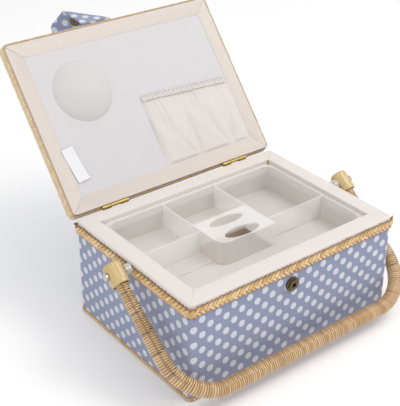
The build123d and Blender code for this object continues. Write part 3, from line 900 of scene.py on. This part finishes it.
def tabPiece(name, first, last, across, along, covers):
    look = tabLook

    def spread(a, b):
        w = (2 * a - 1)
        start, end = first(w * look["half"]), last(w * look["half"])
        l = start + (end - start) * b
        return w * min(tabOutline(l), look["half"]), l

    def place(a, b):
        w, l = spread(a, b)
        ripple = 0.0003 * wobble(w * 90, l * 90, 8) * ease(l / 0.01)
        return tabPlace(w, l, ripple)

    def measure(a, b):
        w, l = spread(a, b)
        return w + look["phase"], l

    bm = gridMesh(across, along, place, measure)
    bmesh.ops.recalc_face_normals(bm, faces=bm.faces)
    bmesh.ops.solidify(bm, geom=bm.faces, thickness=look["thick"])
    return addPiece(name, bm, dottedCloth, None, covers)


def closingTab():
    look = tabLook
    upper = tabPiece("tabStrap", lambda w: -0.0065, tabSeam, 30, 40, ["tab_root", "tab_strap"])
    tabPlace(0, -0.0015)
    tabPlace(0, 0.0015)
    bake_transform(upper)
    lower = tabPiece("tabEnd", tabSeam, lambda w: look["long"], 30, 90, ["tab_end"])
    slant = radians(look["tilt"])
    across = Vector((-sin(slant), -cos(slant)))
    start = (across.x * -0.003, look["crease"] + 0.003 * across.y)
    end = (across.x * 0.003, look["crease"] - 0.003 * across.y)
    tabPlace(*start)
    tabPlace(*end)
    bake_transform(lower)


closingTab()
print("tab done")


handleLook = {"pivotY": -0.0052, "pivotZ": 0.122, "x": 0.1741, "arm": 0.164, "down": 37.2,
              "corner": 0.0565, "from": 0.0135, "radius": 0.0088, "slim": 0.0071,
              "pitch": 0.0028, "ridge": 0.0012, "groove": 25, "grooveWide": 0.16,
              "blockTurns": 9}
down = radians(handleLook["down"])
armAlong = Vector((0, -cos(down), -sin(down)))
armUp = Vector((0, -sin(down), cos(down)))
pivot = Vector((0, handleLook["pivotY"], handleLook["pivotZ"]))


def handlePoint(s):
    # a point and direction along the rod's middle line, s metres from the left pivot
    look = handleLook
    r = look["corner"]
    arm = look["arm"] - r
    bar = 2 * (look["x"] - r)
    quarter = pi * r / 2
    if s < arm:
        return Vector((-look["x"], s)), Vector((0, 1))
    s -= arm
    if s < quarter:
        t = s / r
        return Vector((-look["x"] + r * (1 - cos(t)), arm + r * sin(t))), Vector((sin(t), cos(t)))
    s -= quarter
    if s < bar:
        return Vector((-look["x"] + r + s, look["arm"])), Vector((1, 0))
    s -= bar
    if s < quarter:
        t = s / r
        return Vector((look["x"] - r + r * sin(t), arm + r * cos(t))), Vector((cos(t), -sin(t)))
    s -= quarter
    return Vector((look["x"], arm - s)), Vector((0, -1))


def handleWrap():
    look = handleLook
    r = look["corner"]
    total = 2 * (look["arm"] - r) + pi * r + 2 * (look["x"] - r)
    armEnd = look["arm"] - r
    rng = Random(11)
    shades = [rng.random() for i in range(400)]
    low, high = look["from"], total - look["from"]

    def turnOf(a, b):
        s = low + (high - low) * b
        return s, s / look["pitch"] + a

    def relief(a, b):
        # 1 on the crest of a turn, 0 in the gap between two; as the depth attribute it also paints
        # shade into that gap
        s, turn = turnOf(a, b)
        fromEnd = min(s, total - s)
        onArm = 1 - ease((fromEnd - armEnd - 0.01) / 0.05)
        side = (a - look["groove"] / 360 + 0.5) % 1.0 - 0.5
        crest = abs(sin(pi * (turn + (0.4 * onArm if side > 0 else 0)))) ** 0.8
        groove = ridge(side * 2 * pi, look["grooveWide"]) * onArm
        turns = look["blockTurns"]
        block = abs((turn / turns) % 1.0 - 0.5) * 2 * turns
        gap = ridge(turns - block, 0.55) * onArm * 0.7
        return max(crest * (1 - 0.75 * groove) - gap, 0.0)

    def place(a, b):
        s, turn = turnOf(a, b)
        spot, way = handlePoint(s)
        middle = pivot + Vector((1, 0, 0)) * spot.x + armAlong * spot.y
        forward = Vector((1, 0, 0)) * way.x + armAlong * way.y
        side = forward.cross(armUp)
        radius = look["slim"] + (look["radius"] - look["slim"]) * ease(min(s, total - s) / armEnd)
        radius -= look["ridge"] * (1 - relief(a, b))
        radius += 0.00025 * (shades[int(turn) % len(shades)] - 0.5) + 0.0002
        angle = 2 * pi * a
        return middle + armUp * radius * cos(angle) + side * radius * sin(angle)

    def tone(a, b):
        return shades[int(turnOf(a, b)[1]) % len(shades)]

    rows = int((high - low) / look["pitch"] * 7)
    # painted shade: the relief, stored as depth, darkens the gaps between turns and blocks toward the
    # dark colour
    bm = gridMesh(32, rows, place, lambda a, b: (a * 0.055, turnOf(a, b)[0]),
                  extra={"tone": tone, "depth": relief})
    bmesh.ops.recalc_face_normals(bm, faces=bm.faces)
    addPiece("handleWrap", bm, handleStraw, "handle", ["handle_wrap"])


fittingLook = {"back": 0.0125, "front": 0.014, "radius": 0.011, "rib": 0.0003, "ribs": 18}


def handleFitting(name, sign):
    look = fittingLook
    r = look["radius"]
    outline = [(-look["back"], 0.0), (-look["back"], r - 0.0035)]
    outline += [(-look["back"] + 0.0012, r - 0.0012), (-look["back"] + 0.003, r - 0.0003)]
    front = look["front"]
    outline += [(front - 0.0052, r - 0.0003), (front - 0.0046, r), (front - 0.0006, r)]
    outline += [(front, r - 0.0006), (front, 0.0091), (front - 0.004, 0.0089)]

    def place(a, b):
        along, radius = profileAt(outline, b)[:2]
        angle = 2 * pi * a
        ribbed = ease((along + look["back"] - 0.002) / 0.002)
        ribbed *= ease((front - 0.005 - along) / 0.001)
        if radius > r - 0.001:
            radius += look["rib"] * (abs(cos(look["ribs"] * angle / 2)) ** 3 - 0.6) * ribbed
        middle = pivot + Vector((sign * handleLook["x"], 0, 0)) + armAlong * along
        return middle + armUp * radius * cos(angle) + Vector((1, 0, 0)) * radius * sin(angle)

    bm = gridMesh(144, 70, place, lambda a, b: (a * 0.07, b * 0.05))
    bmesh.ops.recalc_face_normals(bm, faces=bm.faces)
    addPiece("fitting" + name.capitalize(), bm, fittingPlastic, "handle",
             ["handle_fitting_" + name])


handleWrap()
handleFitting("left", -1)
handleFitting("right", 1)
print("handle done")


finishes = {
    "front_snap_socket": bronze, "front_snap_washer": bronze, "snap_stud": bronze,
    "snap_cap": bronze,
    "hinge_lower_leaves": brass, "hinge_upper_leaves": brass, "hinge_pins": brass,
    "hinge_lower_screws": brass, "hinge_upper_screws": brass,
    "handle_pivot_screws": steel, "handle_washers": clearPlastic, "tray": frostedPlastic,
    "handle_core": hiddenBoard, "base_board": hiddenBoard, "lid_board": hiddenBoard,
    "lid_padding": hiddenBoard,
}
for sideName in ringOrder:
    finishes["wall_" + sideName] = hiddenBoard
    finishes["rim_rail_" + sideName] = hiddenBoard
for nodeName, finish in finishes.items():
    node = bpy.data.objects[nodeName]
    node.data.materials.clear()
    node.data.materials.append(finish)


def studio():
    bm = bmesh.new()
    bmesh.ops.create_grid(bm, x_segments=1, y_segments=1, size=12)
    mesh = bpy.data.meshes.new("floor")
    bm.to_mesh(mesh)
    bm.free()
    made, tree = newMaterial("floorPaint")
    paint = finishMaterial(made, tree, Base_Color=(0.95, 0.95, 0.95, 1), Roughness=0.9)
    mesh.materials.append(paint)
    floorPiece = bpy.data.objects.new("floor", mesh)
    scene.collection.objects.link(floorPiece)
    floorPiece.location.z = -0.0004
    world = bpy.data.worlds.new("studio")
    scene.world = world
    world.use_nodes = True
    sky = world.node_tree.nodes["Background"]
    sky.inputs[0].default_value = (1, 1, 1, 1)
    sky.inputs[1].default_value = 0.83
    lamps = (("key", (0.9, -0.7, 1.6), 1.0, 13.5), ("fill", (-1.4, -0.6, 1.1), 1.2, 4.5),
             ("top", (0.2, 0.5, 2.0), 1.4, 2))
    for name, place, size, power in lamps:
        light = bpy.data.lights.new(name, "AREA")
        light.size = size
        light.energy = power
        lamp = bpy.data.objects.new(name, light)
        scene.collection.objects.link(lamp)
        lamp.location = place
        aim = Vector((0, 0, 0.1)) - Vector(place)
        lamp.rotation_euler = aim.to_track_quat("-Z", "Y").to_euler()
    scene.view_settings.view_transform = "Standard"


def openBoxCamera():
    data = bpy.data.cameras.new("camera")
    data.lens = 88.2
    data.sensor_width = 36
    camera = bpy.data.objects.new("camera", data)
    scene.collection.objects.link(camera)
    camera.location = (-0.66046, -0.77755, 0.7295)
    camera.rotation_euler = (radians(60.32), radians(-0.2045), radians(-37.888))
    scene.camera = camera


studio()
openBoxCamera()
print("floor, light and camera done")
